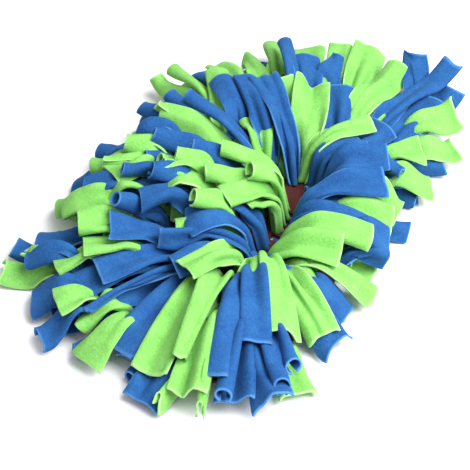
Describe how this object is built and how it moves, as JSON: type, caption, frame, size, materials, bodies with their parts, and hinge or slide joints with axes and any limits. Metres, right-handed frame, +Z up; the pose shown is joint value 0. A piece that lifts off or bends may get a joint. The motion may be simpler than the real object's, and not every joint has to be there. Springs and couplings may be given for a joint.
{
  "type": "snuffle mat",
  "caption": "Soft foraging mat: two-colour fleece strips threaded through a slotted base panel, with their tails fanned out in tiers from a parting into a low mound.",
  "frame": {"origin": "on the ground under the middle of the mat's footprint", "axes": "+Z up, +Y along the parting and the mat's length, +X across it"},
  "size_m": [0.3166, 0.4898, 0.0782],
  "materials": {
    "fleece_blue": "matt brushed polyester fleece, royal blue",
    "fleece_lime": "matt brushed polyester fleece, lime green",
    "base_fabric": "matt close-woven backing cloth, dark maroon brown"
  },
  "bodies": {
    "root": {"base_panel": "base_fabric", "blue_strip_01": "fleece_blue", "blue_strip_02": "fleece_blue", "blue_strip_05": "fleece_blue", "blue_strip_07": "fleece_blue", "blue_strip_08": "fleece_blue", "blue_strip_11": "fleece_blue", "blue_strip_12": "fleece_blue", "blue_strip_14": "fleece_blue", "blue_strip_15": "fleece_blue", "blue_strip_17": "fleece_blue", "blue_strip_19": "fleece_blue", "blue_strip_20": "fleece_blue", "blue_strip_24": "fleece_blue", "blue_strip_25": "fleece_blue", "blue_strip_29": "fleece_blue", "blue_strip_30": "fleece_blue", "blue_strip_32": "fleece_blue", "blue_strip_33": "fleece_blue", "blue_strip_36": "fleece_blue", "blue_strip_38": "fleece_blue", "blue_strip_39": "fleece_blue", "blue_strip_41": "fleece_blue", "lime_strip_03": "fleece_lime", "lime_strip_04": "fleece_lime", "lime_strip_06": "fleece_lime", "lime_strip_09": "fleece_lime", "lime_strip_10": "fleece_lime", "lime_strip_13": "fleece_lime", "lime_strip_16": "fleece_lime", "lime_strip_18": "fleece_lime", "lime_strip_21": "fleece_lime", "lime_strip_22": "fleece_lime", "lime_strip_23": "fleece_lime", "lime_strip_26": "fleece_lime", "lime_strip_27": "fleece_lime", "lime_strip_28": "fleece_lime", "lime_strip_31": "fleece_lime", "lime_strip_34": "fleece_lime", "lime_strip_35": "fleece_lime", "lime_strip_37": "fleece_lime", "lime_strip_40": "fleece_lime", "lime_strip_42": "fleece_lime"}
  },
  "joints": []
}
